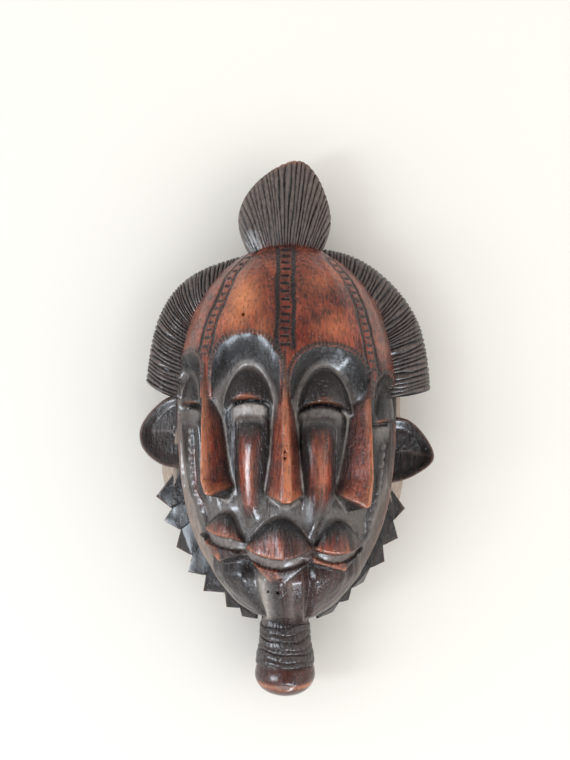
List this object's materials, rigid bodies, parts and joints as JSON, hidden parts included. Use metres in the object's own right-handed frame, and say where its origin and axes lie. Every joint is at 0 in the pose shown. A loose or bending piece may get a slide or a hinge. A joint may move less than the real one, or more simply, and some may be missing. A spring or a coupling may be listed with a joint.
{
  "type": "carved wooden mask",
  "caption": "Carved and stained wooden mask lying on its flat rear rim, hollow behind, with several fused faces, combed hair crests, ears, a toothed border and a ringed beard.",
  "frame": {"origin": "middle of the mask's length and width, in the plane of its flat rear rim", "axes": "+X to the viewer's right, +Y from the beard towards the hair crest, +Z out of the face"},
  "size_m": [0.2011, 0.3603, 0.1053],
  "materials": {
    "stained_wood": "dark stained and polished hardwood, rubbed to red-brown on the raised carving, with pale dust in the hollows"
  },
  "bodies": {
    "root": {"carved_mask": "stained_wood"}
  },
  "joints": []
}
